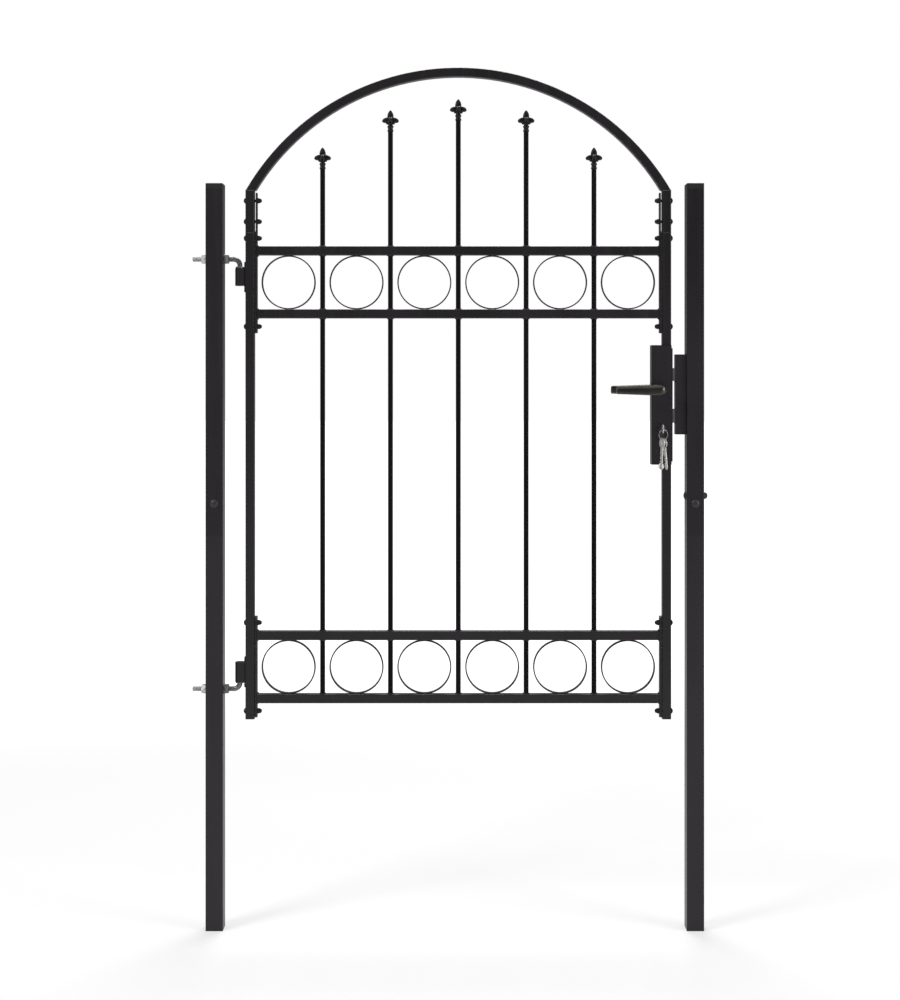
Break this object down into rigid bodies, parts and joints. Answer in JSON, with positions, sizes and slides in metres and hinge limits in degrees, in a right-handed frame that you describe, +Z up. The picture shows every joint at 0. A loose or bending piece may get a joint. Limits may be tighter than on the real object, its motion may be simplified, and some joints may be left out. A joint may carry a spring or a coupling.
{
  "type": "arched steel garden gate",
  "caption": "Arched steel garden gate with square posts, a bowed leaf of round bars with spear finials and ring bands, bolt-on hinges, a lock and lever handles.",
  "frame": {"origin": "middle of the hinge post's foot, on the flat underside of its foot plug", "axes": "+X from the hinge post to the latch post, +Y to the back of the gate, the side the leaf opens to, +Z up"},
  "size_m": [1.037, 0.119, 1.733],
  "materials": {
    "black_coat": "satin black powder coat",
    "black_plastic": "moulded, slightly matt",
    "zinc_plate": "bright zinc plating",
    "lever_finish": "dark bronze lacquer, semi-gloss",
    "nickel": "nickel-plated brass, polished"
  },
  "bodies": {
    "root": {"hinge_post_lower": "black_coat", "hinge_post_upper": "black_coat", "latch_post_lower": "black_coat", "latch_post_upper": "black_coat", "post_sleeves": "black_coat", "post_caps": "black_plastic", "post_foot_plugs": "black_plastic", "post_bolts": "black_coat", "top_hinge_bolt": "zinc_plate", "bottom_hinge_bolt": "zinc_plate", "hinge_nuts": "zinc_plate", "latch_keep": "black_coat"},
    "leaf": {"hinge_stile": "black_coat", "latch_stile_upper": "black_coat", "latch_stile_lower": "black_coat", "arch": "black_coat", "upper_side_plates": "black_coat", "lower_side_plates": "black_coat", "upper_band_top_rail": "black_coat", "upper_band_bottom_rail": "black_coat", "lower_band_top_rail": "black_coat", "lower_band_bottom_rail": "black_coat", "bar_1": "black_coat", "bar_2": "black_coat", "bar_3": "black_coat", "bar_4": "black_coat", "bar_5": "black_coat", "finials": "black_coat", "upper_rings": "black_coat", "lower_rings": "black_coat", "top_hinge_eye": "black_coat", "bottom_hinge_eye": "black_coat", "stile_bolts": "black_coat", "stile_cap_nuts": "black_coat", "lock_case": "black_coat", "front_cover_plate": "black_coat", "back_cover_plate": "black_coat", "lock_forend": "black_coat", "lock_cylinder": "nickel", "key": "nickel"},
    "handle": {"front_lever": "lever_finish", "back_lever": "lever_finish", "spindle": "nickel"},
    "latch": {"latch_bolt": "zinc_plate"},
    "dead_bolt": {"dead_bolt": "zinc_plate"},
    "key_bunch": {"key_ring": "nickel", "spare_keys": "nickel"}
  },
  "joints": [
    {"name": "leaf_swing", "type": "hinge", "parent": "root", "child": "leaf", "pos_m": [0.0495, 0, 1.055], "axis": [0, 0, 1], "range_deg": [0, 90]},
    {"name": "handle_turn", "type": "hinge", "parent": "leaf", "child": "handle", "pos_m": [0.8975, 0, 1.085], "axis": [0, -1, 0], "range_deg": [0, 45], "stiffness_Nm_per_rad": 0.6, "springref_deg": -28.65},
    {"name": "latch_slide", "type": "slide", "parent": "leaf", "child": "latch", "axis": [-1, 0, 0], "range_m": [0, 0.012]},
    {"name": "dead_bolt_slide", "type": "slide", "parent": "leaf", "child": "dead_bolt", "axis": [-1, 0, 0], "range_m": [0, 0.012]},
    {"name": "key_bunch_swing", "type": "hinge", "parent": "leaf", "child": "key_bunch", "pos_m": [0.8975, -0.0385, 1.0058], "axis": [-0.9135, -0.4067, 0], "range_deg": [-8, 75]}
  ],
  "couplings": [
    {"joint": "latch_slide", "follows": "handle_turn", "m_per_rad": 0.01527}
  ]
}
